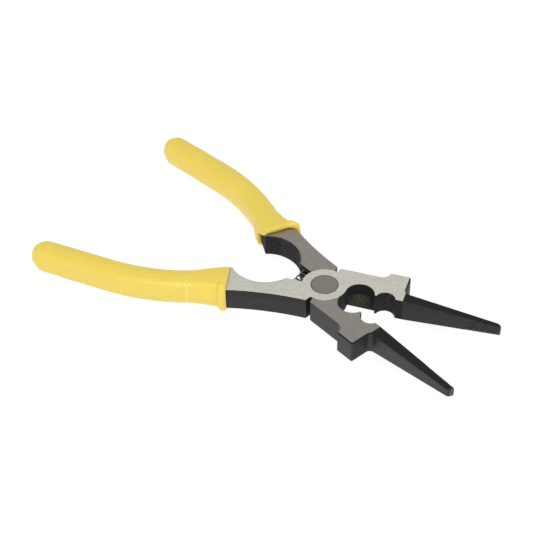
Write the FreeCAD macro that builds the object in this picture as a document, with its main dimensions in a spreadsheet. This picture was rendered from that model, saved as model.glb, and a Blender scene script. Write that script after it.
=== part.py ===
"""Welder's combination pliers: two crossed forged levers on a flush rivet, opened by a coil spring,
with dipped sleeves on the handles.

Frame: millimetres, +Z up. The origin is where the rivet's axis leaves the lower joint face, and +X
runs between the jaws to their tips. The levers are drawn shut, with the jaws' closing plane on XZ,
and each is then turned out by the rest angle, so the part is stored relaxed, as the spring holds it.
The upper lever has the rear jaw (+Y) and the front handle (-Y), and the lower lever the opposite.
"""
import FreeCAD, Part
import math
import os
import Sketcher
from FreeCAD import Placement, Rotation, Vector

SIZES = [
    # Pivot
    ("plate_thickness", 10.5, "thickness of the forged head and shanks"),
    ("boss_radius", 9.75, "round half-thickness boss of each lever"),
    ("recess_clearance", 0.1, "gap round the other lever's boss"),
    ("lap_clearance", 0.03, "each boss stands back from the lap plane"),
    ("rivet_head_radius", 5.9, "flush rivet heads"),
    ("rivet_shank_radius", 4.4, "rivet between its heads"),
    ("rivet_head_depth", 1.2, "straight rim of each head"),
    ("rivet_cone_depth", 2.9, "where the head's cone meets the shank"),
    ("rivet_running_fit", 0.05, "gap between the rivet and the lever that turns on it"),
    ("rivet_rim_chamfer", 0.25, "softened rim of each head"),
    ("rest_half_angle", 15.4, "each lever's turn from shut to rest, degrees"),
    # Jaw, in plan
    ("face_gap", 0.1, "each jaw face stands back from the closing plane"),
    ("jaw_root_x", 3.2, "jaw's outer side where it leaves the boss, along X"),
    ("jaw_root_y", 10.0, "jaw's outer side where it leaves the boss, along Y"),
    ("neck_start_x", 4.0, "rear end of the neck's outer edge"),
    ("neck_edge_y", 11.8, "neck's outer edge"),
    ("neck_end_x", 21.1, "front end of the neck's outer edge"),
    ("block_rear_x", 25.1, "rear of the hammer block"),
    ("block_fillet", 4.1, "hollow between neck and block"),
    ("block_edge_y", 15.7, "hammer face"),
    ("block_corner", 0.8, "front corner of the block"),
    ("block_front_x", 33.8, "front of the block"),
    ("nose_root_radius", 1.9, "hollow between block and nose"),
    ("nose_root_y", 5.3, "nose width at the block"),
    ("nose_slope_x", 34.1, "where the ground faces end and the nose starts to thin"),
    ("nose_end_x", 73.5, "where the nose starts to round off"),
    ("nose_end_y", 2.75, "nose width at its end"),
    ("tip_x", 75.7, "tip of the nose"),
    ("tip_y", 0.9, "flat of the tip"),
    ("tip_round", 2.3, "outer corner of the tip"),
    ("tip_thickness", 4.2, "nose thickness at the tip"),
    ("nose_edge_round", 0.7, "rounding of the nose's outer edges"),
    # Cross teeth near the tip
    ("tooth_pitch", 1.0, "spacing of the cross teeth"),
    ("tooth_depth", 0.38, "depth of the cross teeth"),
    ("tooth_count", 14, "cross teeth on each nose"),
    ("first_tooth_x", 61.7, "rearmost cross tooth"),
    # Small round grip behind the nose
    ("tip_grip_front_x", 31.0, "front edge of the small round grip"),
    ("tip_grip_rear_x", 22.8, "rear edge of the small round grip"),
    ("tip_grip_radius", 4.3, "radius of the small round grip"),
    ("tip_grip_centre_x", 26.9, "centre of the small round grip"),
    ("tip_grip_grooves", 9, "grooves in the small round grip"),
    # Cutter
    ("cutter_centre_x", 15.9, "centre of the round opening over the cutter, along X"),
    ("cutter_centre_y", -1.2, "centre of the round opening, past the closing plane"),
    ("cutter_radius", 6.25, "radius of the round opening"),
    ("cutter_edge_z", 1.5, "height of the cutting edge over the lower face"),
    ("cutter_relief", 1.9, "ground relief under the cutting edge"),
    ("cutter_half_length", 6.1, "half the cutting edge"),
    ("cutter_reach", 0.5, "the hollow grinding runs this far past the closing plane"),
    ("cutter_foot_bow", 30.5, "slight curve at the foot of the hollow"),
    # Shank, in plan
    ("seat_corner_x", -16.8, "outer corner of the spring seat"),
    ("seat_y", -1.1, "flat seat of the spring, beside the boss"),
    ("nozzle_radius", 15.3, "radius of the large round grip between the shanks"),
    ("nozzle_end_x", -40.9, "rear end of the large round grip, along X"),
    ("nozzle_end_y", -1.7, "rear end of the large round grip, along Y"),
    ("nozzle_centre_x", -28.95, "centre of the large round grip, along X"),
    ("nozzle_centre_y", 7.8, "centre of the large round grip, past the closing plane"),
    ("nozzle_grooves", 25, "grooves in the large round grip"),
    ("groove_depth", 0.3, "depth of the grooves in both round grips"),
    ("groove_pitch", 1.0, "spacing of the grooves in both round grips"),
    ("groove_back", 1.5, "a groove's cutter from its point to its back, in groove depths"),
    ("groove_half_width", 0.75, "half the width of that back, in groove depths"),
    ("shoulder_x", -4.7, "shoulder's outer corner, along X"),
    ("shoulder_y", -11.7, "shoulder's outer corner, along Y"),
    ("shoulder_root_x", -3.4, "shoulder where it meets the boss, along X"),
    ("shoulder_root_y", -9.0, "shoulder where it meets the boss, along Y"),
    ("shank_bow", 133.0, "radius of the shank's hollow outer edge"),
    ("mouth_half_width", 7.1, "half the steel's width at the sleeve's mouth"),
    # Handle
    ("mouth_x", -40.3, "handle axis at the sleeve's mouth, along X"),
    ("mouth_y", -9.15, "handle axis at the sleeve's mouth, along Y"),
    ("handle_slope", 15.4, "handle axis near the mouth, degrees from X"),
    ("end_slope", 5.2, "handle axis near its end, degrees back towards X"),
    ("first_run", 20.6, "straight run of the axis from the mouth to its bend"),
    ("bend_radius", 90.0, "bend of the axis between its two straight runs"),
    ("tang_end_x", -119.0, "end of the steel inside the sleeve"),
    ("tang_width", 8.0, "steel inside the sleeve, across in plan"),
    ("tang_height", 8.5, "steel inside the sleeve, top to bottom"),
    ("tang_taper_length", 14.0, "from the mouth to the narrow tang"),
    ("tang_start", 0.3, "where the tang's own section begins, as a share of the first run"),
    ("throat_margin", 0.6, "the sleeve's wide mouth runs on past the steel's taper"),
    # Sleeve
    ("sleeve_end_x", -130.3, "closed end of the sleeve"),
    ("sleeve_width", 11.4, "sleeve across, in plan"),
    ("sleeve_height", 12.6, "sleeve, top to bottom"),
    ("sleeve_corner", 4.4, "rounded corners of the sleeve's section"),
    ("sleeve_end_round", 4.4, "rounding of the closed end"),
    ("flare_width", 16.4, "sleeve at its mouth, across in plan"),
    ("flare_height", 13.6, "sleeve at its mouth, top to bottom"),
    ("flare_corner", 3.0, "rounded corners of the mouth and of its lip"),
    ("lip_width", 18.4, "raised lip round the mouth, across in plan"),
    ("lip_height", 16.0, "raised lip round the mouth, top to bottom"),
    ("lip_length", 2.6, "raised lip, along the handle"),
    ("mouth_gap", 0.45, "hollow between steel and sleeve at the mouth"),
    # Spring
    ("spring_x", -12.85, "spring's axis, parallel to Y at rest"),
    ("spring_radius", 2.45, "spring, from its axis to the middle of the wire"),
    ("wire_radius", 0.45, "radius of the spring's wire"),
    ("spring_pitch", 2.45, "advance of the spring in one turn"),
    ("spring_half_length", 8.5, "from the spring's middle to the last turn's wire centre"),
    ("spring_hole_radius", 3.05, "blind holes that seat the spring"),
    ("spring_hole_bottom", 9.0, "from the middle to the bottom of each hole, at rest"),
    # Cuts
    ("overcut", 1.0, "how far a cut runs on past the face where it leaves the piece"),
    ("fine_overcut", 0.01, "the same, for a slanting cut that must keep its place"),
]

document = FreeCAD.newDocument("WeldersPliers")
sheet = document.addObject("Spreadsheet::Sheet", "Sizes")
for row, (alias, number, note) in enumerate(SIZES, start=1):
    sheet.set(f"A{row}", note)
    sheet.set(f"B{row}", str(number))
    sheet.setAlias(f"B{row}", alias)
document.recompute()


class Size:
    """A number together with the formula that ties it to the sheet."""

    def __init__(self, number, formula):
        self.number = number
        self.formula = formula

    def _join(self, sign, other, number):
        text = other.formula if isinstance(other, Size) else str(other)
        return Size(number, f"({self.formula} {sign} {text})")

    def __add__(self, other):
        return self._join("+", other, self.number + plain(other))

    def __sub__(self, other):
        return self._join("-", other, self.number - plain(other))

    def __mul__(self, other):
        return self._join("*", other, self.number * plain(other))

    def __truediv__(self, other):
        return self._join("/", other, self.number / plain(other))


def plain(value):
    """The plain number of a Size or of a number."""
    return value.number if isinstance(value, Size) else value


def size(alias):
    """One cell of the sheet."""
    return Size(float(sheet.get(alias)), f"Sizes.{alias}")


def cosine(angle):
    return Size(math.cos(math.radians(angle.number)), f"cos({angle.formula} * 1 deg)")


def sine(angle):
    return Size(math.sin(math.radians(angle.number)), f"sin({angle.formula} * 1 deg)")


def bind(thing, name, value):
    """Set a property and tie it to the sheet; a plain number is only set."""
    if name.startswith("Placement") or name.startswith("AttachmentOffset"):
        thing.setExpression(name, value.formula)
        return
    setattr(thing, name, plain(value))
    if isinstance(value, Size):
        thing.setExpression(name, value.formula)


def new_body(label):
    body = document.addObject("PartDesign::Body", label)
    body.Label = label
    return body


def plane_of(body, role):
    """One of the body's own origin planes."""
    return next(f for f in body.Origin.OriginFeatures if f.Role == role)


def arc_between(start, end, radius):
    """The shorter arc from start to end, turning left for a positive radius and right for a
    negative one; an arc always runs anticlockwise, so a right turn swaps its ends."""
    chord = end - start
    left = Vector(-chord.y, chord.x, 0).normalize()
    rise = math.sqrt(radius * radius - chord.Length * chord.Length / 4)
    centre = (start + end) / 2 + left * math.copysign(rise, radius)
    if radius < 0:
        start, end = end, start
    from_angle = math.atan2(start.y - centre.y, start.x - centre.x)
    to_angle = math.atan2(end.y - centre.y, end.x - centre.x)
    circle = Part.Circle(centre, Vector(0, 0, 1), abs(radius))
    return Part.ArcOfCircle(circle, from_angle, to_angle)


def draw(body, name, role, corners, closed=True):
    """A sketch on an origin plane. Each corner is (x, y), or (x, y, radius) where an arc leads on
    to the next corner. Every corner and radius is tied to the sheet."""
    sketch = body.newObject("Sketcher::SketchObject", name)
    sketch.AttachmentSupport = [(plane_of(body, role), "")]
    sketch.MapMode = "FlatFace"
    points = [Vector(plain(corner[0]), plain(corner[1]), 0) for corner in corners]
    ends = []
    edges = len(corners) if closed else len(corners) - 1
    for i, corner in enumerate(corners[:edges]):
        start, end = points[i], points[(i + 1) % len(points)]
        if len(corner) == 2:
            sketch.addGeometry(Part.LineSegment(start, end))
            ends.append((1, 2))
        else:
            radius = plain(corner[2])
            sketch.addGeometry(arc_between(start, end, radius))
            ends.append((1, 2) if radius > 0 else (2, 1))
    for i in range(edges if closed else edges - 1):
        after = (i + 1) % edges
        sketch.addConstraint(Sketcher.Constraint("Coincident", i, ends[i][1], after, ends[after][0]))
    for i, corner in enumerate(corners):
        edge, end = (i, ends[i][0]) if i < edges else (i - 1, ends[i - 1][1])
        for kind, value in (("DistanceX", corner[0]), ("DistanceY", corner[1])):
            index = sketch.addConstraint(
                Sketcher.Constraint(kind, -1, 1, edge, end, plain(value)))
            if isinstance(value, Size):
                sketch.setExpression(f"Constraints[{index}]", value.formula)
        if len(corner) == 3:
            index = sketch.addConstraint(
                Sketcher.Constraint("Radius", i, abs(plain(corner[2]))))
            if isinstance(corner[2], Size):
                sketch.setExpression(f"Constraints[{index}]", f"abs({corner[2].formula})")
    return sketch


def lift(sketch, height):
    """Move a sketch off its plane, along the plane's normal."""
    bind(sketch, "AttachmentOffset.Base.z", height)


def rectangle(width, height):
    """Corners of a rectangle about the origin."""
    half_w, half_h = width / 2, height / 2
    return [(half_w * -1, half_h * -1), (half_w, half_h * -1), (half_w, half_h), (half_w * -1, half_h)]


def rounded_rectangle(width, height, corner):
    """Corners of a rectangle about the origin, with rounded corners."""
    half_w, half_h = width / 2, height / 2
    flat_w, flat_h = half_w - corner, half_h - corner
    return [(flat_w * -1, half_h * -1), (flat_w, half_h * -1, corner),
            (half_w, flat_h * -1), (half_w, flat_h, corner),
            (flat_w, half_h), (flat_w * -1, half_h, corner),
            (half_w * -1, flat_h), (half_w * -1, flat_h * -1, corner)]


def pad(body, name, sketch, length):
    feature = body.newObject("PartDesign::Pad", name)
    feature.Profile = sketch
    bind(feature, "Length", length)
    return feature


def cut_through(body, name, sketch):
    """A pocket right through the body, both ways from its sketch."""
    feature = body.newObject("PartDesign::Pocket", name)
    feature.Profile = sketch
    feature.Type = 1
    feature.Midplane = True
    return feature


def cylinder(body, name, kind, radius, height, bottom=None, centre=None):
    """An upright cylinder that adds to the body or cuts it, from bottom (or from z = 0) up."""
    feature = body.newObject(f"PartDesign::{kind}Cylinder", name)
    bind(feature, "Radius", radius)
    bind(feature, "Height", height)
    if bottom:
        bind(feature, "Placement.Base.z", bottom)
    if centre:
        bind(feature, "Placement.Base.x", centre[0])
        bind(feature, "Placement.Base.y", centre[1])
    return feature


def check(body):
    """Build what is there so far, and stop if the body's last feature failed."""
    document.recompute()
    if body.Shape.isNull() or not body.Shape.isValid() or body.Tip.State != ["Up-to-date"]:
        raise RuntimeError(f"{body.Label}: {body.Tip.Name} failed, {body.Tip.State}")


def handle_axis(side, end_x):
    """Corners of the handle's axis in plan: straight run, bend, straight run to end_x."""
    slope, back, radius = size("handle_slope"), size("end_slope"), size("bend_radius")
    run = size("first_run")
    mouth_x, mouth_y = size("mouth_x"), size("mouth_y")
    bend_x = mouth_x - run * cosine(slope)
    bend_y = mouth_y - run * sine(slope)
    after_x = bend_x - radius * (sine(slope) + sine(back))
    after_y = bend_y + radius * (cosine(slope) - cosine(back))
    end_y = after_y + (after_x - end_x) * sine(back) / cosine(back)
    return [(mouth_x, mouth_y * side), (bend_x, bend_y * side, radius * -side),
            (after_x, after_y * side), (end_x, end_y * side)]


def section(body, name, spine, corners, along=0.0):
    """A closed sketch square to the spine's first run, at a share of that run's length."""
    sketch = draw(body, name, "XY_Plane", corners)
    sketch.AttachmentSupport = [(spine, "Edge1")]
    sketch.MapMode = "NormalToEdge"
    bind(sketch, "MapPathParameter", along)
    return sketch


def plate_outline(side):
    """The forged head and shank in plan, anticlockwise for the upper lever: nose, grips, cutting
    line, spring seat, large round grip, steel in the sleeve, shoulder, neck and hammer block."""
    gap = size("face_gap")
    slope, taper = size("handle_slope"), size("tang_taper_length")
    mouth_x, mouth_y, half = size("mouth_x"), size("mouth_y"), size("mouth_half_width")
    tang = size("tang_width") / 2
    inner_x = mouth_x - taper * cosine(slope)
    inner_y = mouth_y - taper * sine(slope)
    corners = [
        (size("tip_x"), gap),
        (size("tip_grip_front_x"), gap, size("tip_grip_radius")),
        (size("tip_grip_rear_x"), gap),
        (size("boss_radius") / 2, gap),
        (size("boss_radius") / -2, size("seat_y")),
        (size("seat_corner_x"), size("seat_y"), size("nozzle_radius") * -1),
        (size("nozzle_end_x"), size("nozzle_end_y")),
        (mouth_x - half * sine(slope), mouth_y + half * cosine(slope)),
        (inner_x - tang * sine(slope), inner_y + tang * cosine(slope)),
        (inner_x + tang * sine(slope), inner_y - tang * cosine(slope)),
        (mouth_x + half * sine(slope), mouth_y - half * cosine(slope), size("shank_bow") * -1),
        (size("shoulder_x"), size("shoulder_y")),
        (size("shoulder_root_x"), size("shoulder_root_y")),
        (size("boss_radius") / -4, size("boss_radius") / -2),
        (size("boss_radius") / 4, size("boss_radius") / 2),
        (size("jaw_root_x"), size("jaw_root_y")),
        (size("neck_start_x"), size("neck_edge_y")),
        (size("neck_end_x"), size("neck_edge_y"), size("block_fillet")),
        (size("block_rear_x"), size("block_edge_y")),
        (size("block_front_x") - size("block_corner"), size("block_edge_y"), size("block_corner") * -1),
        (size("block_front_x"), size("block_edge_y") - size("block_corner")),
        (size("block_front_x"), size("nose_root_y") + size("nose_root_radius"),
         size("nose_root_radius")),
        (size("block_front_x") + size("nose_root_radius"), size("nose_root_y")),
        (size("nose_end_x"), size("nose_end_y"), size("tip_round") * -1),
        (size("tip_x"), size("tip_y")),
    ]
    if side > 0:
        return corners
    return [(c[0], c[1] * -1) if len(c) == 2 else (c[0], c[1] * -1, c[2] * -1) for c in corners]


def v_groove(body, name, reach, depth, centre, facing):
    """An upright V groove through the body. Its point lies reach from centre, facing that way."""
    back, half_width = reach - depth * size("groove_back"), depth * size("groove_half_width")
    sketch = draw(body, f"{name}_profile", "XY_Plane",
                  [(reach, 0), (back, half_width), (back, half_width * -1)])
    sketch.AttachmentOffset = Placement(Vector(), Rotation(Vector(0, 0, 1), facing))
    bind(sketch, "AttachmentOffset.Base.x", centre[0])
    bind(sketch, "AttachmentOffset.Base.y", centre[1])
    return sketch, cut_through(body, name, sketch)


def groove_arc(body, name, reach, depth, centre, facing, turn, count):
    """V grooves round an arc, evenly either side of the direction facing, in degrees."""
    start = facing - turn.number * (count.number - 1) / 2
    sketch, groove = v_groove(body, name, reach, depth, centre, start)
    check(body)
    row = body.newObject("PartDesign::PolarPattern", f"{name}_row")
    row.Originals = [groove]
    row.Axis = (sketch, ["N_Axis"])
    bind(row, "Angle", turn * (count - 1))
    row.Occurrences = int(count.number)
    body.Tip = row
    check(body)


def tooth_row(body, name, first, side):
    """The tip's cross teeth: V grooves in a straight row along X."""
    depth = size("tooth_depth")
    _, groove = v_groove(body, name, depth, depth, first, 90 * side)
    check(body)
    row = body.newObject("PartDesign::LinearPattern", f"{name}_row")
    row.Originals = [groove]
    row.Direction = (plane_of(body, "X_Axis"), [""])
    bind(row, "Length", size("tooth_pitch") * (size("tooth_count") - 1))
    row.Occurrences = int(size("tooth_count").number)
    body.Tip = row
    check(body)


def round_nose(body):
    """Round the nose's long outer edges, on both faces and round the tip."""
    start = plain(size("block_front_x") + size("nose_root_radius") - size("fine_overcut"))
    middle = plain(size("plate_thickness") / 2)
    near_face = plain(size("tip_thickness")) / 3
    tapered, names = body.Tip, []
    for i, edge in enumerate(tapered.Shape.Edges, start=1):
        box = edge.BoundBox
        on_face = abs(box.Center.z - middle) > near_face
        outer = abs(box.Center.y) > plain(size("tip_y"))
        if box.XMin > start and on_face and outer:
            names.append(f"Edge{i}")
    feature = body.newObject("PartDesign::Fillet", f"{body.Name}_nose_rounds")
    feature.Base = (tapered, names)
    bind(feature, "Radius", size("nose_edge_round"))
    check(body)


def forged_lever(label, side, lap_is_upper):
    """One forged lever. side is 1 where the jaw lies at +Y, -1 where it lies at -Y."""
    body = new_body(label)
    thickness, gap, over = size("plate_thickness"), size("face_gap"), size("overcut")
    middle = thickness / 2
    clearance = size("lap_clearance")

    # Forged plate, thinned evenly from both faces towards the tip of the nose
    pad(body, f"{label}_plate", draw(body, f"{label}_outline", "XY_Plane", plate_outline(side)),
        thickness)
    start_x, beyond_tip = size("nose_slope_x"), size("tip_x") + over
    for face, towards in (("upper", 1), ("lower", -1)):
        full = middle + thickness * towards / 2
        thin = middle + size("tip_thickness") * towards / 2
        outside = full + over * towards
        cut_through(body, f"{label}_{face}_nose_slope", draw(
            body, f"{label}_{face}_nose_profile", "XZ_Plane",
            [(start_x, full), (size("tip_x"), thin), (beyond_tip, thin), (beyond_tip, outside),
             (start_x, outside)]))
    check(body)
    round_nose(body)

    # Recess for the other lever's boss
    recess = size("boss_radius") + size("recess_clearance")
    recess_floor = over * -1 if lap_is_upper else middle - clearance
    cylinder(body, f"{label}_recess", "Subtractive", recess, middle + clearance + over, recess_floor)
    check(body)

    # Cutter: a round opening from the upper face to half depth, hollow ground to a straight edge
    centre = (size("cutter_centre_x"), size("cutter_centre_y") * side)
    cylinder(body, f"{label}_cutter_opening", "Subtractive", size("cutter_radius"), middle + over,
             middle, centre)
    check(body)
    half = size("cutter_half_length")
    rear, front = centre[0] - half, centre[0] + half
    chord = size("cutter_reach") * -side
    wide = draw(body, f"{label}_hollow_top", "XY_Plane",
                [(front, chord, size("cutter_radius") * side), (rear, chord)])
    lift(wide, middle)
    narrow = draw(body, f"{label}_hollow_foot", "XY_Plane",
                  [(front, chord, size("cutter_foot_bow") * side), (rear, chord)])
    lift(narrow, size("cutter_edge_z"))
    hollow = body.newObject("PartDesign::SubtractiveLoft", f"{label}_hollow")
    hollow.Profile = wide
    hollow.Sections = [narrow]
    hollow.Ruled = True
    check(body)
    edge_z, under_face = size("cutter_edge_z"), size("fine_overcut") * -1
    relief = draw(body, f"{label}_relief_profile", "YZ_Plane",
                  [(gap * side, edge_z), (size("cutter_relief") * side, under_face),
                   (gap * -side, under_face), (gap * -side, edge_z)])
    lift(relief, front)
    under = body.newObject("PartDesign::Pocket", f"{label}_relief")
    under.Profile = relief
    bind(under, "Length", half * 2)
    check(body)

    # Boss, in the upper or the lower half of the lap joint
    boss_bottom = middle + clearance if lap_is_upper else None
    cylinder(body, f"{label}_boss", "Additive", size("boss_radius"), middle - clearance, boss_bottom)
    check(body)

    # Countersunk rivet hole: a running fit in the upper lever, tight in the lower one
    fit = size("rivet_running_fit") * (1 if lap_is_upper else 0)
    head, shank = size("rivet_head_radius") + fit, size("rivet_shank_radius") + fit
    rim, cone = size("rivet_head_depth"), size("rivet_cone_depth")
    if lap_is_upper:
        heights = (middle - over, thickness - cone, thickness - rim, thickness + over)
    else:
        heights = (middle + over, cone, rim, over * -1)
    hole = body.newObject("PartDesign::Groove", f"{label}_rivet_hole")
    hole.Profile = draw(body, f"{label}_hole_profile", "XZ_Plane",
                        [(0, heights[0]), (shank, heights[0]), (shank, heights[1]),
                         (head, heights[2]), (head, heights[3]), (0, heights[3])])
    hole.ReferenceAxis = (hole.Profile[0], ["V_Axis"])
    hole.Angle = 360
    check(body)

    # Blind hole for the spring, on the spring's own line at rest
    turn = -side * size("rest_half_angle").number
    shut = Rotation(Vector(0, 0, 1), turn)
    seat = shut.multVec(Vector(size("spring_x").number, 0, 0))
    drill = Rotation(Vector(0, 0, 1), turn) * Rotation(Vector(1, 0, 0), 90 * side)
    blind = body.newObject("PartDesign::SubtractiveCylinder", f"{label}_spring_hole")
    bind(blind, "Radius", size("spring_hole_radius"))
    bind(blind, "Height", size("spring_hole_bottom"))
    blind.Placement = Placement(Vector(seat.x, seat.y, middle.number), drill)
    check(body)

    # Grooves in both round grips and teeth at the tip
    depth = size("groove_depth")
    nozzle_turn = size("groove_pitch") / size("nozzle_radius") * (180 / math.pi)
    grip_turn = size("groove_pitch") / size("tip_grip_radius") * (180 / math.pi)
    nozzle = (size("nozzle_centre_x"), size("nozzle_centre_y") * side)
    tip_grip_rise = math.sqrt(size("tip_grip_radius").number ** 2 - (
        (size("tip_grip_front_x") - size("tip_grip_rear_x")).number / 2) ** 2)
    tip_grip = (size("tip_grip_centre_x"), (gap - tip_grip_rise) * side)
    groove_arc(body, f"{label}_nozzle_groove", size("nozzle_radius") + depth, depth, nozzle,
               -90 * side, nozzle_turn, size("nozzle_grooves"))
    groove_arc(body, f"{label}_tip_grip_groove", size("tip_grip_radius") + depth, depth, tip_grip,
               90 * side, grip_turn, size("tip_grip_grooves"))
    tooth_row(body, f"{label}_teeth", (size("first_tooth_x"), gap * side), side)

    # Narrow tang inside the sleeve
    spine = draw(body, f"{label}_axis", "XY_Plane", handle_axis(side, size("tang_end_x")), closed=False)
    lift(spine, middle)
    tang = body.newObject("PartDesign::AdditivePipe", f"{label}_tang")
    tang.Profile = section(body, f"{label}_tang_section", spine, rectangle(
        size("tang_width"), size("tang_height")), size("tang_start"))
    tang.Spine = (spine, ["Edge1", "Edge2", "Edge3"])
    check(body)
    return body


def turn_out(body, side):
    """Turn a piece drawn in the shut position out to rest."""
    body.Placement = Placement(Vector(), Rotation(Vector(0, 0, side), 1))
    bind(body, "Placement.Rotation.Angle", size("rest_half_angle"))


def pivot_rivet():
    """Countersunk rivet, spun flush at both faces."""
    body = new_body("pivot_rivet")
    top = size("plate_thickness")
    head, shank = size("rivet_head_radius"), size("rivet_shank_radius")
    rim, cone, bevel = size("rivet_head_depth"), size("rivet_cone_depth"), size("rivet_rim_chamfer")
    turned = body.newObject("PartDesign::Revolution", "rivet_turned")
    profile = draw(body, "rivet_profile", "XZ_Plane", [
        (0, 0), (head - bevel, 0), (head, bevel), (head, rim), (shank, cone),
        (shank, top - cone), (head, top - rim), (head, top - bevel), (head - bevel, top), (0, top)])
    turned.Profile = profile
    turned.ReferenceAxis = (profile, ["V_Axis"])
    turned.Angle = 360
    check(body)
    return body


def return_spring():
    """Open-wound coil spring between the shanks, straight at rest, its ends in the blind holes."""
    helix = document.addObject("Part::Helix", "spring_line")
    bind(helix, "Pitch", size("spring_pitch"))
    bind(helix, "Height", size("spring_half_length") * 2)
    bind(helix, "Radius", size("spring_radius"))
    wire = document.addObject("Part::Circle", "spring_wire_section")
    bind(wire, "Radius", size("wire_radius"))
    wire.Placement = Placement(Vector(size("spring_radius").number, 0, 0), Rotation(Vector(1, 0, 0), 90))
    bind(wire, "Placement.Base.x", size("spring_radius"))
    coil = document.addObject("Part::Sweep", "return_spring")
    coil.Label = "return_spring"
    coil.Sections = [wire]
    coil.Spine = (helix, [])
    coil.Solid = True
    coil.Frenet = True
    coil.Placement = Placement(Vector(), Rotation(Vector(1, 0, 0), -90))
    bind(coil, "Placement.Base.x", size("spring_x"))
    bind(coil, "Placement.Base.y", size("spring_half_length") * -1)
    bind(coil, "Placement.Base.z", size("plate_thickness") / 2)
    document.recompute()
    return coil


def sleeve(label, side):
    """Dipped handle sleeve: a bent tube of rounded section with a closed end, flared to its mouth,
    where a raised lip surrounds the steel."""
    body = new_body(label)
    middle = size("plate_thickness") / 2
    slim = (size("sleeve_width"), size("sleeve_height"), size("sleeve_corner"))
    flared = (size("flare_width"), size("flare_height"), size("flare_corner"))
    spine = draw(body, f"{label}_axis", "XY_Plane", handle_axis(side, size("sleeve_end_x")), closed=False)
    lift(spine, middle)
    tube = body.newObject("PartDesign::AdditivePipe", f"{label}_tube")
    tube.Profile = section(body, f"{label}_tube_section", spine, rounded_rectangle(*slim))
    tube.Spine = (spine, ["Edge1", "Edge2", "Edge3"])
    check(body)
    near_end = (size("sleeve_end_x") + size("overcut")).number
    far = [f"Edge{i}" for i, edge in enumerate(tube.Shape.Edges, start=1)
           if edge.BoundBox.XMax < near_end]
    dome = body.newObject("PartDesign::Fillet", f"{label}_closed_end")
    dome.Base = (tube, far)
    bind(dome, "Radius", size("sleeve_end_round"))
    check(body)
    flare = body.newObject("PartDesign::AdditiveLoft", f"{label}_flare")
    flare.Profile = section(body, f"{label}_flare_mouth", spine, rounded_rectangle(*flared))
    flare.Sections = [section(body, f"{label}_flare_end", spine, rounded_rectangle(*slim), 1.0)]
    check(body)
    lip = body.newObject("PartDesign::Pad", f"{label}_lip")
    lip.Profile = section(body, f"{label}_lip_section", spine, rounded_rectangle(
        size("lip_width"), size("lip_height"), size("flare_corner")))
    bind(lip, "Length", size("lip_length"))
    lip.Reversed = True
    check(body)

    # Hollow: a wide mouth round the flared steel, then a close fit on the tang
    gap, taper = size("mouth_gap") * 2, size("tang_taper_length")
    wide = rectangle(size("mouth_half_width") * 2 + gap, size("plate_thickness") + gap)
    narrow = rectangle(size("tang_width") + gap * 2, size("plate_thickness") + gap)
    mouth = body.newObject("PartDesign::SubtractiveLoft", f"{label}_mouth")
    mouth.Profile = section(body, f"{label}_mouth_section", spine, wide)
    depth = (taper + size("throat_margin")) / size("first_run")
    mouth.Sections = [section(body, f"{label}_throat_section", spine, narrow, depth)]
    check(body)
    steel = draw(body, f"{label}_tang_axis", "XY_Plane", handle_axis(side, size("tang_end_x")), closed=False)
    lift(steel, middle)
    hollow = body.newObject("PartDesign::SubtractivePipe", f"{label}_hollow")
    hollow.Profile = section(body, f"{label}_hollow_section", steel, rectangle(
        size("tang_width"), size("tang_height")), size("tang_start"))
    hollow.Spine = (steel, ["Edge1", "Edge2", "Edge3"])
    check(body)
    return body


upper_lever = forged_lever("upper_lever", 1, lap_is_upper=True)
lower_lever = forged_lever("lower_lever", -1, lap_is_upper=False)
upper_grip = sleeve("upper_grip", 1)
lower_grip = sleeve("lower_grip", -1)
pieces = [upper_lever, lower_lever, pivot_rivet(), return_spring(), upper_grip, lower_grip]
for body, side in ((upper_lever, 1), (lower_lever, -1), (upper_grip, 1), (lower_grip, -1)):
    turn_out(body, side)
document.recompute()

for thing in document.Objects:
    if "Invalid" in thing.State or "Error" in thing.State:
        raise RuntimeError(f"{thing.Label} failed: {thing.State}")
os.makedirs("parts", exist_ok=True)
for piece in pieces:
    shape = piece.Shape
    if shape.isNull() or not shape.isValid():
        raise RuntimeError(f"{piece.Label} is not a valid solid")
    shape.exportStep(f"parts/{piece.Label}.step")
    print(f"{piece.Label}: {len(shape.Solids)} solid, {shape.Volume:.1f} mm3, {shape.BoundBox}")
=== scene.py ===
"""Spring-loaded multi-purpose pliers: two black forged levers with ground faces, crossed on a
flush rivet, opened by a small coil spring, with dipped yellow sleeves on the handles."""
from math import cos, pi, radians, sin

import bpy
import numpy as np
from mathutils import Matrix, Vector


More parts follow.
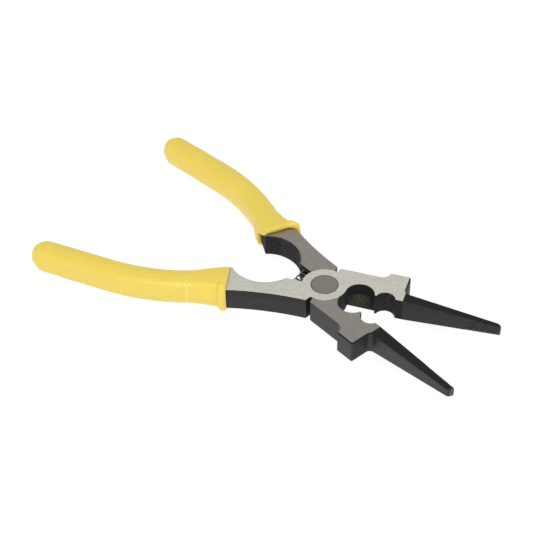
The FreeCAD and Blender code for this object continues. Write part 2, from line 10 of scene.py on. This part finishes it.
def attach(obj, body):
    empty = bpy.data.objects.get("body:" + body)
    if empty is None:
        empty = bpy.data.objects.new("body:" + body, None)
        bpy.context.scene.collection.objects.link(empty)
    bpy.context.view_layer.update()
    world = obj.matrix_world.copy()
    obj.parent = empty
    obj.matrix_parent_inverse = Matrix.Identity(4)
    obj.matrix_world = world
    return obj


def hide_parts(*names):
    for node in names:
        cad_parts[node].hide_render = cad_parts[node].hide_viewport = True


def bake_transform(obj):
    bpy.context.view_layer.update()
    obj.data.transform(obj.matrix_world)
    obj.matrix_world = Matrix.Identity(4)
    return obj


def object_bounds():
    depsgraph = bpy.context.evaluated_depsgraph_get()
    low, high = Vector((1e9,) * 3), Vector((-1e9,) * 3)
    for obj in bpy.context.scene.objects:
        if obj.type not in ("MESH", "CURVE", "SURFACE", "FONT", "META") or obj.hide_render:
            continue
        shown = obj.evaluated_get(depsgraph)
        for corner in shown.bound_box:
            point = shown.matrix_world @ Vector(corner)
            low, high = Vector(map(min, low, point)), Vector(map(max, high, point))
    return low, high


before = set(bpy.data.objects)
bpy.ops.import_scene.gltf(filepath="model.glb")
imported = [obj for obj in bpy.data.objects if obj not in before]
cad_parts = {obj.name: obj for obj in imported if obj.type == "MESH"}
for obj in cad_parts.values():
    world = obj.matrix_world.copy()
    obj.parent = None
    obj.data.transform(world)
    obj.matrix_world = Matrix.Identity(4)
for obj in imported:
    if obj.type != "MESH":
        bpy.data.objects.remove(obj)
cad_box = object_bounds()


# ---------------------------------------------------------------------------------------------
# Camera. It looks down on the open tool from in front and to the right, so the jaws come
# forward on the right and the two handles run away to the left. A long lens keeps it flat.
# ---------------------------------------------------------------------------------------------
MM = 0.001
scene = bpy.context.scene
camera_data = bpy.data.cameras.new("camera")
camera_data.sensor_width = 36.0
camera_data.lens = 87.5
camera_data.clip_start, camera_data.clip_end = 0.05, 20.0
camera = bpy.data.objects.new("camera", camera_data)
scene.collection.objects.link(camera)
scene.camera = camera

aim = Vector((-27.04, -4.04, 10.5)) * MM
azimuth, elevation, tilt = radians(35.07), radians(41.44), radians(1.16)
camera.matrix_world = (
    Matrix.Translation(aim)
    @ Matrix.Rotation(azimuth, 4, "Z")
    @ Matrix.Rotation(pi / 2 - elevation, 4, "X")
    @ Matrix.Rotation(-tilt, 4, "Z")
    @ Matrix.Translation((0, 0, 558.2 * MM))
)


# ---------------------------------------------------------------------------------------------
# Studio. A plain white floor and a white surround, with one broad soft light overhead and a
# smaller one high in front, which draws the gloss along the sleeves' upper edges.
# ---------------------------------------------------------------------------------------------
def linear(hex_colour):
    """An sRGB hex colour as a linear RGBA tuple."""
    parts = np.array([int(hex_colour[i:i + 2], 16) for i in (1, 3, 5)]) / 255
    curve = np.where(parts <= 0.04045, parts / 12.92, ((parts + 0.055) / 1.055) ** 2.4)
    return (*curve, 1.0)


def new_material(name):
    """An empty node material and its tree."""
    material = bpy.data.materials.new(name)
    material.use_nodes = True
    material.node_tree.nodes.clear()
    return material, material.node_tree


def add(tree, kind, inputs=None, **settings):
    """Adds a node. settings are its own properties; inputs maps a socket's name or number to a
    value, or to the (node, output) that feeds it."""
    node = tree.nodes.new("ShaderNode" + kind)
    for name, value in settings.items():
        setattr(node, name, value)
    for socket, value in (inputs or {}).items():
        if isinstance(value, tuple) and isinstance(value[0], bpy.types.Node):
            tree.links.new(value[0].outputs[value[1]], node.inputs[socket])
        else:
            node.inputs[socket].default_value = value
    return node


scene.view_settings.view_transform = "Standard"
world = bpy.data.worlds.new("white_surround")
world.use_nodes = True
world.node_tree.nodes["Background"].inputs["Color"].default_value = (1.0, 1.0, 1.0, 1.0)
world.node_tree.nodes["Background"].inputs["Strength"].default_value = 0.62
scene.world = world

floor_level = cad_box[0].z
floor_size = 4.0
floor_mesh = bpy.data.meshes.new("floor")
floor_mesh.from_pydata(
    [(x * floor_size, y * floor_size, floor_level) for x, y in ((-1, -1), (1, -1), (1, 1), (-1, 1))],
    [], [(0, 1, 2, 3)])
floor = bpy.data.objects.new("floor", floor_mesh)
scene.collection.objects.link(floor)
floor_material, tree = new_material("matt_white_paper")
paper = add(tree, "BsdfDiffuse", {"Color": linear("#666666")})
glow = add(tree, "Emission", {"Color": linear("#FFFFFF"), "Strength": 0.9})
paper_glow = add(tree, "AddShader", {0: (paper, 0), 1: (glow, 0)})
add(tree, "OutputMaterial", {"Surface": (paper_glow, 0)})
floor_mesh.materials.append(floor_material)


def soft_light(name, place, width, power):
    """A square studio light that faces the tool's middle."""
    data = bpy.data.lights.new(name, "AREA")
    data.shape, data.size, data.energy = "SQUARE", width, power
    light = bpy.data.objects.new(name, data)
    light.location = Vector(place)
    light.rotation_euler = (aim - light.location).to_track_quat("-Z", "Y").to_euler()
    scene.collection.objects.link(light)


soft_light("overhead_softbox", (0.2, -0.1, 1.0), 0.7, 1.5)
soft_light("front_softbox", (0.28, -0.66, 0.78), 0.3, 3.9)


# ---------------------------------------------------------------------------------------------
# The two levers. Drop forgings in tool steel, blackened all over in a hot oxide bath and then
# ground flat on both faces, so the faces are bare and the sides, round grips and noses black.
# ---------------------------------------------------------------------------------------------
PLATE = 10.5            # thickness of a lever, in mm, as all the sizes below are
REST_TURN = 15.4        # degrees that each lever stands out from its shut position
CUTTER_X = 15.9         # middle of the wire cutter
CUTTER_HALF = 6.6       # half the cutter's length
NOSE_START = 34.0       # end of the ground faces, where the needle noses begin
TIP = 75.7              # tip of the noses
PARTING = 7.4           # height of the forging's parting line
# WORN also gives the painted highlight along the levers' edges
WORN = "#8C8780"        # bare steel where the oxide has worn away


def grey(share):
    """A number as a grey colour, so that colours and roughness are mixed in the same way."""
    return (share, share, share, 1.0)


def forged_steel(name, side, face_colour, line_colour):
    """Tool steel with a hot black oxide, which reads as a soft satin black, and ground faces,
    which read as bright metal with fine lines. side is 1 for the lever whose jaw lies at +Y and
    -1 for the other, and the patterns are turned back with the lever to its shut position. The
    ground part is whatever lies in the two face planes, as far as the nose. The cutter's bowl is
    hollow ground bare steel, painted dark as shade in its hollow."""
    material, tree = new_material(name)
    place = add(tree, "TexCoord")
    lever = add(tree, "Mapping", {"Vector": (place, "Object"),
                                  "Rotation": (0, 0, radians(-REST_TURN * side))})
    xyz = add(tree, "SeparateXYZ", {0: (lever, 0)})
    normal = add(tree, "SeparateXYZ", {0: (place, "Normal")})

    def maths(operation, a, b=0.0, c=0.0):
        return (add(tree, "Math", {0: a, 1: b, 2: c}, operation=operation), 0)

    def between(value, low, high):
        return (add(tree, "MapRange", {"Value": value, "From Min": low, "From Max": high}), 0)

    def mixed(share, a, b):
        return (add(tree, "Mix", {0: share, 6: a, 7: b}, data_type="RGBA"), 2)

    x, z = (xyz, 0), (xyz, 2)
    off_middle = maths("ABSOLUTE", maths("SUBTRACT", z, PLATE / 2 * MM))
    in_plane = between(off_middle, (PLATE / 2 - 0.06) * MM, (PLATE / 2 - 0.03) * MM)
    level = between(maths("ABSOLUTE", (normal, 2)), 0.97, 0.99)
    behind_nose = maths("LESS_THAN", x, NOSE_START * MM)
    ground = maths("MULTIPLY", maths("MULTIPLY", in_plane, level), behind_nose)

    # Grinding lines across the face and the mottle of a worn belt. The lines are drawn about
    # 0.5 mm apart, coarser than the real grit's, so that they show
    lines = add(tree, "Mapping", {"Vector": (lever, 0), "Scale": (0.12, 1.0, 1.0),
                                  "Rotation": (0, 0, radians(62))})
    grain = add(tree, "TexNoise", {"Vector": (lines, 0), "Scale": 1 / (0.55 * MM), "Detail": 3.0,
                                   "Roughness": 0.6})
    mottle = add(tree, "TexNoise", {"Vector": (lever, 0), "Scale": 1 / (0.9 * MM), "Detail": 3.0,
                                    "Roughness": 0.6})
    face = mixed(between((grain, 0), 0.35, 0.7), linear(face_colour), linear(line_colour))
    face = mixed(maths("MULTIPLY", between((mottle, 0), 0.4, 0.7), 0.22), face, linear("#8E897E"))

    # Oxide: blue-black, painted darker and browner on the upward faces as painted shade, and worn at the
    # edges, partly as a painted highlight
    scale = add(tree, "TexNoise", {"Vector": (lever, 0), "Scale": 1 / (1.3 * MM), "Detail": 5.0,
                                   "Roughness": 0.7})
    cloud = add(tree, "TexNoise", {"Vector": (lever, 0), "Scale": 1 / (9.0 * MM), "Detail": 3.0})
    oxide = mixed(between((scale, 0), 0.3, 0.75), linear("#0D0D0F"), linear("#1A191D"))
    oxide = mixed(between((cloud, 0), 0.4, 0.65), oxide, linear("#141417"))
    upward_painted_shade = between((normal, 2), 0.3, 0.8)
    oxide = mixed(maths("MULTIPLY", upward_painted_shade, 0.8), oxide, linear("#0C0B09"))

    # The sides that face away from the closing plane, and the noses in part, are painted a paler
    # purple grey, a painted highlight for the sides that face the light. On the shanks this tone is
    # darkened by half, and the strip above the forging's parting line is darker still, most of all
    # on the shanks: painted shade, darker towards the top
    outwards = maths("MULTIPLY", maths("MULTIPLY", (normal, 1), side), maths("SIGN", x))
    outer = between(outwards, 0.0, 0.65)
    on_nose = maths("MULTIPLY", maths("GREATER_THAN", x, NOSE_START * MM), 0.6)
    outer = maths("MAXIMUM", outer, on_nose)
    steep = between(maths("ABSOLUTE", (normal, 2)), 0.5, 0.2)
    outer = maths("MULTIPLY", outer, steep)
    above_line = between(z, (PARTING - 0.25) * MM, (PARTING + 0.25) * MM)
    shank = maths("LESS_THAN", x, 0.0)
    painted_side_light_shade = mixed(between((scale, 0), 0.3, 0.7), linear("#232226"), linear("#2E2D31"))
    painted_side_light_shade = mixed(maths("MULTIPLY", shank, 0.5), painted_side_light_shade, linear("#0B0B0C"))
    painted_side_light_shade = mixed(maths("MULTIPLY", above_line, maths("ADD", maths("MULTIPLY", shank, 0.5), 0.3)),
                   painted_side_light_shade, linear("#050506"))
    # painted light and shade: the outward sides take the paler tone, with darker shanks and top strip
    oxide = mixed(maths("MULTIPLY", outer, 0.8), oxide, painted_side_light_shade)

    # Worn edges, partly real wear and partly a painted highlight along them: where a small rounding of
    # the edge would turn the surface away from itself
    rounding = add(tree, "Bevel", {"Radius": 0.3 * MM}, samples=4)
    geometry = add(tree, "NewGeometry")
    facing = add(tree, "VectorMath", {0: (rounding, 0), 1: (geometry, "True Normal")},
                 operation="DOT_PRODUCT")
    edge = between((facing, "Value"), 0.985, 0.9)
    patches = between((scale, 0), 0.42, 0.62)
    edge_wear_and_highlight = maths("MULTIPLY", maths("MULTIPLY", edge, patches), 0.45)
    oxide = mixed(edge_wear_and_highlight, oxide, linear(WORN))
    at_tip = maths("MULTIPLY", between(x, (TIP - 0.7) * MM, (TIP - 0.2) * MM), patches)
    oxide = mixed(maths("MULTIPLY", at_tip, 0.5), oxide, linear(WORN))

    # Hollow ground bowl over the cutting edge: near the cutter, below the middle of the lever's
    # thickness, and sloping upwards without being one of the faces. Its bare steel is painted dark
    # as shade in the hollow, with grinding rings
    from_cutter = maths("ABSOLUTE", maths("SUBTRACT", x, CUTTER_X * MM))
    near_cutter = maths("LESS_THAN", from_cutter, CUTTER_HALF * MM)
    sloping = between((normal, 2), 0.06, 0.12)
    off_face = maths("LESS_THAN", off_middle, (PLATE / 2 - 0.25) * MM)
    low = maths("LESS_THAN", z, (PLATE / 2 + 0.01) * MM)
    in_bowl = maths("MULTIPLY", maths("MULTIPLY", sloping, off_face), low)
    bowl = maths("MULTIPLY", near_cutter, in_bowl)
    rings = add(tree, "TexNoise", {"Vector": (lever, 0), "Scale": 1 / (1.1 * MM), "Detail": 2.0})
    # painted shade: the bowl's bare steel is darkened for the hollow it lies in
    hollow = mixed(between((rings, 0), 0.35, 0.65), linear("#22221B"), linear("#34342A"))

    colour = mixed(bowl, mixed(ground, oxide, face), hollow)
    bare = maths("MAXIMUM", ground, maths("MULTIPLY", bowl, 0.45))
    forged = mixed(outer, grey(0.8), grey(0.42))
    roughness = mixed(bare, forged, grey(0.38))
    dents = add(tree, "Bump", {"Height": (scale, 0), "Strength": 0.25, "Distance": 0.05 * MM,
                               "Normal": (rounding, 0)})
    surface = add(tree, "BsdfPrincipled", {
        "Base Color": colour, "Metallic": bare, "Roughness": roughness, "Normal": (dents, 0),
        "Specular IOR Level": 0.4})
    add(tree, "OutputMaterial", {"Surface": (surface, 0)})
    return material


def finish_node(name, material):
    """Gives a CAD node its finish in every material slot."""
    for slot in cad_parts[name].material_slots:
        slot.link = "OBJECT"
        slot.material = material


# The two levers' ground faces are the same steel; the upper's are painted much paler than the lower's, a
# painted sheen for how each catches the light
finish_node("upper_lever", forged_steel("ground_black_forging_upper", 1, "#F7F4E9", "#E9E5D7"))
finish_node("lower_lever", forged_steel("ground_black_forging_lower", -1, "#B0ABA3", "#A09B94"))


# ---------------------------------------------------------------------------------------------
# Rivet. A plain steel pin, pressed and then ground flush with the faces, so it shows as a round
# disc, browner and duller than the levers, with a thin dark line where its rim is softened.
# ---------------------------------------------------------------------------------------------
# Ground mild steel: a dull, even sheen. Only its level top is bare, and the softened rim is dark
rivet_steel, tree = new_material("ground_mild_steel_rivet")
place = add(tree, "TexCoord")
grain = add(tree, "TexNoise", {"Vector": (place, "Object"), "Scale": 1 / (0.8 * MM), "Detail": 4.0,
                               "Roughness": 0.7})
tone = add(tree, "Mix", {0: (grain, 0), 6: linear("#A19A94"), 7: linear("#8D8780")}, data_type="RGBA")
up = add(tree, "SeparateXYZ", {0: (place, "Normal")})
level = add(tree, "Math", {0: (up, 2)}, operation="ABSOLUTE")
top = add(tree, "MapRange", {"Value": (level, 0), "From Min": 0.9, "From Max": 0.97})
colour = add(tree, "Mix", {0: (top, 0), 6: linear("#232120"), 7: (tone, 2)}, data_type="RGBA")
surface = add(tree, "BsdfPrincipled", {"Base Color": (colour, 2), "Metallic": 0.9, "Roughness": 0.42})
add(tree, "OutputMaterial", {"Surface": (surface, 0)})
finish_node("pivot_rivet", rivet_steel)


# ---------------------------------------------------------------------------------------------
# Spring. Music wire, blackened and oiled, wound into a small open coil between the shanks. Its
# ends sit in blind holes.
# ---------------------------------------------------------------------------------------------
def grid_piece(name, points, material):
    """A closed mesh from a grid of points, (rows, columns, 3) in metres. The columns close on
    themselves, and the first and last rows close to their own middles."""
    rows, columns, _ = points.shape
    column = np.arange(columns)
    beside = (column + 1) % columns
    row = np.arange(rows - 1)[:, None] * columns
    quads = np.stack(np.broadcast_arrays(row + column, row + beside, row + columns + beside,
                                         row + columns + column), -1).reshape(-1, 4)
    first_middle, last = rows * columns, (rows - 1) * columns
    first_fan = np.stack([beside, column, np.full(columns, first_middle)], -1)
    last_fan = np.stack([last + column, last + beside, np.full(columns, first_middle + 1)], -1)
    vertices = np.concatenate([points.reshape(-1, 3), points[:1].mean(1), points[-1:].mean(1)])
    mesh = bpy.data.meshes.new(name)
    mesh.from_pydata(vertices.tolist(), [], quads.tolist() + first_fan.tolist() + last_fan.tolist())
    mesh.shade_smooth()
    mesh.materials.append(material)
    piece = bpy.data.objects.new(name, mesh)
    scene.collection.objects.link(piece)
    return piece


def coil(middle, half_length, radius, wire, pitch, first_turn):
    """A coil of round wire along Y, in metres: the wire's centre goes round a circle as it moves
    along by one pitch a turn from the angle first_turn, and a ring of points goes round it."""
    turned = np.linspace(0, 4 * pi * half_length / pitch, 240)[:, None, None]
    round_wire = np.linspace(0, 2 * pi, 12, endpoint=False)[None, :, None]
    angle = turned + first_turn
    outwards = np.concatenate([np.cos(angle), 0 * angle, np.sin(angle)], -1)
    along = np.array([0.0, 1.0, 0.0])
    centre = outwards * radius + along * (turned / (2 * pi) * pitch - half_length)
    return middle + centre + wire * (outwards * np.cos(round_wire) + along * np.sin(round_wire))


# Music wire, oil-blackened: a hard black gloss with small sharp highlights
black_wire, tree = new_material("oiled_black_music_wire")
place = add(tree, "TexCoord")
drawn = add(tree, "TexNoise", {"Vector": (place, "Object"), "Scale": 1 / (0.6 * MM), "Detail": 2.0})
tone = add(tree, "Mix", {0: (drawn, 0), 6: linear("#0B0B0B"), 7: linear("#161514")}, data_type="RGBA")
surface = add(tree, "BsdfPrincipled", {"Base Color": (tone, 2), "IOR": 2.2, "Roughness": 0.08})
add(tree, "OutputMaterial", {"Surface": (surface, 0)})

spring_x, spring_z = -12.85 * MM, PLATE / 2 * MM
spring = grid_piece("return_spring_wire", coil(
    np.array([spring_x, 0, spring_z]), half_length=8.5 * MM, radius=2.5 * MM, wire=0.36 * MM,
    pitch=2.15 * MM, first_turn=4.4), black_wire)
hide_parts("return_spring")
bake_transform(spring)


# ---------------------------------------------------------------------------------------------
# Sleeves. Soft yellow PVC, dipped or moulded over each handle: a rounded box section that
# follows the bent handle, flares to its mouth and ends there in a rolled lip. The outer side has
# a fine diamond texture between a cross line and the smooth end, for a wet glove to hold.
# ---------------------------------------------------------------------------------------------
# PVC plastisol: warm yellow with a soft gloss and a faint orange peel. The moulded pattern has
# painted shade, a deeper yellow, in its hollows, and a painted highlight, paler, on its points
# and along the raised line, from the attribute relief
yellow_pvc, tree = new_material("dipped_yellow_pvc")
place = add(tree, "TexCoord")
cloud = add(tree, "TexNoise", {"Vector": (place, "Object"), "Scale": 1 / (14.0 * MM), "Detail": 3.0})
peel = add(tree, "TexNoise", {"Vector": (place, "Object"), "Scale": 1 / (0.7 * MM), "Detail": 3.0})
tone = add(tree, "Mix", {0: (cloud, 0), 6: linear("#F0D65A"), 7: linear("#E8CE53")}, data_type="RGBA")
moulded = add(tree, "Attribute", attribute_name="relief")
valley_painted_shade = add(tree, "MapRange", {"Value": (moulded, "Fac"), "From Min": 0.0, "From Max": -1.0})
point_painted_highlight = add(tree, "MapRange", {"Value": (moulded, "Fac"), "From Min": 0.0, "From Max": 1.2})
tone = add(tree, "Mix", {0: (valley_painted_shade, 0), 6: (tone, 2), 7: linear("#D0B33A")}, data_type="RGBA")
tone = add(tree, "Mix", {0: (point_painted_highlight, 0), 6: (tone, 2), 7: linear("#FFF08A")}, data_type="RGBA")
orange_peel = add(tree, "Bump", {"Height": (peel, 0), "Strength": 0.12, "Distance": 0.05 * MM})
surface = add(tree, "BsdfPrincipled", {
    "Base Color": (tone, 2), "Roughness": 0.27, "IOR": 1.5, "Normal": (orange_peel, 0),
    "Subsurface Weight": 0.1, "Subsurface Radius": (0.004, 0.003, 0.001), "Subsurface Scale": 0.3})
add(tree, "OutputMaterial", {"Surface": (surface, 0)})

MOUTH = np.array([-40.3, -9.15])                # handle's axis at the sleeve's mouth, shut
SLOPE, BACK = radians(15.4), radians(5.2)       # its slope at the mouth, and back at the end
FIRST_RUN, BEND = 20.6, 90.0                    # straight run from the mouth, and the bend's radius
END_X = -130.6                                  # closed end of the sleeve
bend_length = BEND * (SLOPE + BACK)
bend_start = MOUTH - FIRST_RUN * np.array([cos(SLOPE), sin(SLOPE)])
bend_end = bend_start + BEND * np.array([-(sin(SLOPE) + sin(BACK)), cos(SLOPE) - cos(BACK)])
last_run = (bend_end[0] - END_X) / cos(BACK)
LENGTH = FIRST_RUN + bend_length + last_run


def handle_line(s):
    """Points on the handle's axis and its outward direction, in plan with the tool shut, at
    distances s from the mouth: a straight run, an arc, and a straight run."""
    turned = np.clip((s - FIRST_RUN) / BEND, 0, SLOPE + BACK)
    heading = SLOPE - turned
    before = np.minimum(s, FIRST_RUN)
    after = np.maximum(s - FIRST_RUN - bend_length, 0)
    x = MOUTH[0] - before * cos(SLOPE) - BEND * (sin(SLOPE) - np.sin(heading)) - after * cos(BACK)
    y = MOUTH[1] - before * sin(SLOPE) + BEND * (cos(SLOPE) - np.cos(heading)) + after * sin(BACK)
    return np.stack([x, y], -1), np.stack([np.sin(heading), -np.cos(heading)], -1)


def rounded_box(flats, corners):
    """One turn round a rounded box from its outer side: how far along each flat (-1 to 1) and
    which way the surface faces, as arrays. flats and corners hold the number of steps in each
    flat and in the corner after it: outer side, top, inner side, bottom."""
    flat_u, flat_v, facing = [], [], []
    for quarter, (flat_steps, corner_steps) in enumerate(zip(flats, corners)):
        start, ahead = pi / 2 * quarter, pi / 2 * (quarter + 1)
        run = np.linspace(-1, 1, flat_steps, endpoint=False)
        flat_u += [cos(start) + run * cos(ahead), np.full(corner_steps, cos(start) + cos(ahead))]
        flat_v += [sin(start) + run * sin(ahead), np.full(corner_steps, sin(start) + sin(ahead))]
        arc = np.linspace(0, pi / 2, corner_steps, endpoint=False)
        facing += [np.full(flat_steps, start), start + arc]
    return np.concatenate(flat_u), np.concatenate(flat_v), np.concatenate(facing)


def smooth(value, low, high):
    """0 below low, 1 above high, and an S curve between them."""
    t = np.clip((value - low) / (high - low), 0, 1)
    return t * t * (3 - 2 * t)


HALF_WIDTH, HALF_HEIGHT, CORNER = 5.5, 6.2, 3.4     # the sleeve's section along its plain part
DOME = 7.0                                          # length of the closed end's dome
FLARE, NEAR_MOUTH = 20.0, 20.0                      # how far back the flare and the fit reach
LIP_MIDDLE, LIP_REACH = 1.9, 2.1                    # the lip's crest from the mouth, and half its length
LINE_AT = 17.4                                      # the raised line across the outer side
DIAMOND, DIAMOND_RISE = 1.4, 0.18                   # the diamonds' spacing and height
SMOOTH_END = 16.0                                   # plain length at the closed end
STEEL_HALF, STEEL_TAPER = 7.1, 0.22                 # half the steel's width, and its loss per mm
GAP, THROAT_CORNER = 0.15, 0.8                      # gap round the steel, and the hollow's corners


def skin(s, ring, lip_out):
    """The outside of a sleeve at distances s from its mouth, in mm: how far out and how high the
    points lie from the handle's axis, and the relief of the moulded pattern. A ring is a rounded
    box that widens to the mouth. Along its normal it gains a slight crown, the lip as a bead, the
    diamonds as two waves that cross, and the line. The dome draws it in like a rounded arc."""
    u, v, facing = ring
    nu, nv = np.cos(facing), np.sin(facing)
    flare, shoulder = 1 - smooth(s, 0, FLARE), 1 - smooth(s, -6, 18)
    half_w = HALF_WIDTH + np.where(u > 0, 1.7 * shoulder, 2.1 * flare)
    half_h = HALF_HEIGHT + 0.4 * flare
    t = np.clip((s - (LENGTH - DOME)) / DOME, 0, 1)
    corner = CORNER - 0.8 * flare + 2.2 * smooth(t, 0, 1)
    crown = 0.3 * (1 - np.minimum(np.abs(u), np.abs(v)) ** 2)

    # The lip stands out on the outer side, a little on top, and hardly anywhere else
    lip_height = 0.05 + lip_out * smooth(nu, -0.3, 1.0)
    lip_height = lip_height + 0.3 * smooth(nv, 0.0, 1.0) * smooth(u, -1, 0.2)
    lip_height = lip_height + 0.1 * smooth(-nv, 0.0, 1.0) * smooth(u, -0.6, 0.8)
    lip = lip_height * np.clip(1 - ((s - LIP_MIDDLE) / LIP_REACH) ** 2, 0, 1) ** 0.6

    # The diamonds cover the outer side from just past the line to the smooth end. They are a
    # little coarser than the real ones, so that they show
    textured = smooth(nu, 0.35, 0.7) * smooth(s, LINE_AT + 0.4, LINE_AT + 0.9)
    textured = textured * (1 - smooth(s, LENGTH - SMOOTH_END - 1, LENGTH - SMOOTH_END))
    girth = (half_h - corner) * v + corner * np.where(facing > pi, facing - 2 * pi, facing)
    wave = np.abs(np.sin(pi * (s + girth) / DIAMOND) * np.sin(pi * (s - girth) / DIAMOND))
    line = 0.35 * np.exp(-((s - LINE_AT) / 0.35) ** 2) * smooth(nu, 0.6, 0.9)
    # relief only colours the sleeve: painted shade in the diamonds' hollows and a painted highlight on
    # their points, with the line weighted twice for its highlight
    relief = textured * (wave - 0.42) + 2 * line
    proud = crown + lip + DIAMOND_RISE * wave * textured + line

    close_w, close_h = (1 - t ** 2.3) ** (1 / 2.3), (1 - t ** 2.4) ** (1 / 2.4)
    across = ((half_w - corner) * u + (corner + proud) * nu) * close_w
    height = ((half_h - corner) * v + (corner + proud) * nv) * close_h
    return across, height, relief


def throat(ring, rim, backed):
    """The hollow in the mouth, from its hidden end on the tang out to the middle of the lip's
    face: a box round the steel, which tapers with depth. rim is the skin's first ring, across and
    up, and backed is how far back the mouth lies at each point. Gives the rings' depths and their
    points across and up."""
    u, v, facing = ring
    depths = np.array([9.0, 6.0, 3.0, 0.6, 0.0, 0.0])[:, None]
    hidden = depths > 8
    half_w = np.where(hidden, 4.0, STEEL_HALF - STEEL_TAPER * (depths + backed) + GAP)
    half_h = np.where(hidden, 4.0, PLATE / 2 + GAP)
    across = (half_w - THROAT_CORNER) * u + THROAT_CORNER * np.cos(facing)
    height = (half_h - THROAT_CORNER) * v + THROAT_CORNER * np.sin(facing)
    across[-1] = (across[-1] + rim[0]) / 2
    height[-1] = (height[-1] + rim[1]) / 2
    return depths, across, height


def sleeve(name, side, node, body, fit):
    """One sleeve: the throat and the skin as one run of rings, bent along the handle's line,
    mirrored for the lever at side -1 and turned out to rest. fit is how it went on, in mm: how
    far past the collar, how far its outer side and its lip's outer end reach forward of the rest,
    how far the lip stands out, and how far the mouth is cut back on the inner side, low down."""
    push, outer_forward, lip_forward, lip_out, cut_back = fit
    lip_steps = np.linspace(0, 5, 34, endpoint=False)
    plain_steps = np.arange(5, LENGTH - DOME, 0.2)
    dome_steps = LENGTH - DOME + DOME * np.sin(np.linspace(0, pi / 2, 22))[:-1]
    s = np.concatenate([lip_steps, plain_steps, dome_steps])[:, None]
    ring = rounded_box((46, 18, 14, 18), (22, 10, 10, 22))
    across, height, relief = skin(s, ring, lip_out)
    backed = cut_back * smooth(-ring[0], -1, 1) * smooth(5.5 - height[0], 0, 4.5)
    depths, throat_across, throat_height = throat(ring, (across[0], height[0]), backed)

    s = np.concatenate([depths + 0 * throat_across, s + 0 * across])
    across = np.concatenate([throat_across, across])
    height = np.concatenate([throat_height, height])
    relief = np.concatenate([0 * throat_across, relief])
    forward = outer_forward * across / 8 + lip_forward * smooth(across, 4, 9) - backed
    s = s - push - forward * (1 - smooth(s, 0, NEAR_MOUTH))

    axis, out = handle_line(s)
    plan = axis + across[..., None] * out
    shut_x, shut_y, turn = plan[..., 0], plan[..., 1] * side, radians(REST_TURN) * side
    points = np.stack([shut_x * cos(turn) - shut_y * sin(turn),
                       shut_x * sin(turn) + shut_y * cos(turn), PLATE / 2 + height], -1) * MM
    # The mirrored rings run the other way round, which would turn the faces inwards
    if side < 0:
        points, relief = points[:, ::-1], relief[:, ::-1]
    piece = grid_piece(name, points, yellow_pvc)
    on_ends = [0.0, 0.0]
    relief = np.concatenate([relief.ravel(), on_ends])
    piece.data.attributes.new("relief", "FLOAT", "POINT").data.foreach_set("value", relief)
    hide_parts(node)
    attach(piece, body)


# The upper lever's sleeve sits square on its handle. The lower lever's went on further, and its
# mouth is skewed, with a bigger lip
sleeve("upper_handle_sleeve", 1, "upper_grip", "upper_half", (0.1, -0.5, 0.0, 1.75, 0.0))
sleeve("lower_handle_sleeve", -1, "lower_grip", "lower_half", (1.1, 0.32, 2.2, 2.7, 7.2))
